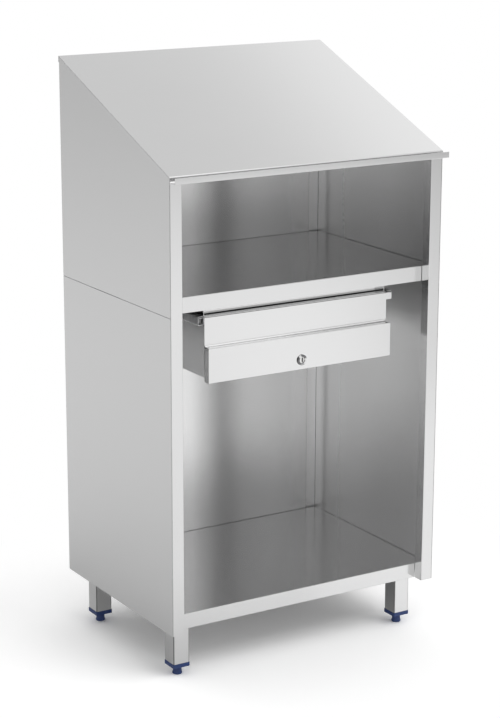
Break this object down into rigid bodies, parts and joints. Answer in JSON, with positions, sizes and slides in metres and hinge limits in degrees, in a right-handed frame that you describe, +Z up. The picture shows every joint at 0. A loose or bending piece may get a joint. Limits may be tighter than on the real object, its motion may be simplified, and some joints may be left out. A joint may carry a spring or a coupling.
{
  "type": "host stand",
  "caption": "Stainless steel host stand with a sloped desk top, pen gutter, open compartments, a locking drawer hung under the middle shelf, and square legs on levelling feet.",
  "frame": {"origin": "on the floor, under the middle of the whole stand", "axes": "+Z up, +X to the stand's right as seen from its open side, +Y from its open side to its back"},
  "size_m": [0.7, 0.527, 1.3378],
  "materials": {
    "brushed_steel": "bright brushed stainless sheet",
    "leg_steel": "brushed stainless tube",
    "runner_steel": "zinc plated",
    "lock_chrome": "nickel plated",
    "blue_plastic": "moulded, satin",
    "glide_plastic": "moulded nylon"
  },
  "bodies": {
    "cabinet": {"left_front_post": "brushed_steel", "right_front_post": "brushed_steel", "left_lower_side_panel": "brushed_steel", "right_lower_side_panel": "brushed_steel", "left_upper_side_panel": "brushed_steel", "right_upper_side_panel": "brushed_steel", "lower_back_panel": "brushed_steel", "upper_back_panel": "brushed_steel", "desk_top": "brushed_steel", "desk_stiffener": "brushed_steel", "middle_shelf": "brushed_steel", "base_shelf": "brushed_steel", "base_stiffener": "brushed_steel", "drawer_cross_rail": "brushed_steel", "lock_keeper": "brushed_steel", "left_runner": "runner_steel", "right_runner": "runner_steel", "left_front_hanger": "runner_steel", "left_rear_hanger": "runner_steel", "right_front_hanger": "runner_steel", "right_rear_hanger": "runner_steel", "left_front_glide": "glide_plastic", "right_front_glide": "glide_plastic", "left_front_leg": "leg_steel", "left_front_leg_plate": "leg_steel", "left_front_leg_plug": "blue_plastic", "right_front_leg": "leg_steel", "right_front_leg_plate": "leg_steel", "right_front_leg_plug": "blue_plastic", "left_rear_leg": "leg_steel", "left_rear_leg_plate": "leg_steel", "left_rear_leg_plug": "blue_plastic", "right_rear_leg": "leg_steel", "right_rear_leg_plate": "leg_steel", "right_rear_leg_plug": "blue_plastic"},
    "drawer": {"drawer_box": "brushed_steel", "drawer_box_front": "brushed_steel", "drawer_box_back": "brushed_steel", "drawer_front": "brushed_steel", "left_drawer_rail": "runner_steel", "right_drawer_rail": "runner_steel", "left_rear_glide": "glide_plastic", "right_rear_glide": "glide_plastic", "lock_body": "lock_chrome", "lock_nut": "lock_chrome"},
    "lock_turning": {"lock_plug": "lock_chrome", "lock_cam": "runner_steel"},
    "left_front_foot": {"left_front_foot_pad": "blue_plastic", "left_front_foot_stud": "leg_steel"},
    "right_front_foot": {"right_front_foot_pad": "blue_plastic", "right_front_foot_stud": "leg_steel"},
    "left_rear_foot": {"left_rear_foot_pad": "blue_plastic", "left_rear_foot_stud": "leg_steel"},
    "right_rear_foot": {"right_rear_foot_pad": "blue_plastic", "right_rear_foot_stud": "leg_steel"}
  },
  "joints": [
    {"name": "drawer_slide", "type": "slide", "parent": "cabinet", "child": "drawer", "axis": [0, -1, 0], "range_m": [0, 0.33]},
    {"name": "lock_turn", "type": "hinge", "parent": "drawer", "child": "lock_turning", "pos_m": [0, -0.208, 0.6932], "axis": [0, -1, 0], "range_deg": [0, 90]},
    {"name": "left_front_foot_level", "type": "slide", "parent": "cabinet", "child": "left_front_foot", "axis": [0, 0, -1], "range_m": [0, 0.02]},
    {"name": "right_front_foot_level", "type": "slide", "parent": "cabinet", "child": "right_front_foot", "axis": [0, 0, -1], "range_m": [0, 0.02]},
    {"name": "left_rear_foot_level", "type": "slide", "parent": "cabinet", "child": "left_rear_foot", "axis": [0, 0, -1], "range_m": [0, 0.02]},
    {"name": "right_rear_foot_level", "type": "slide", "parent": "cabinet", "child": "right_rear_foot", "axis": [0, 0, -1], "range_m": [0, 0.02]}
  ]
}
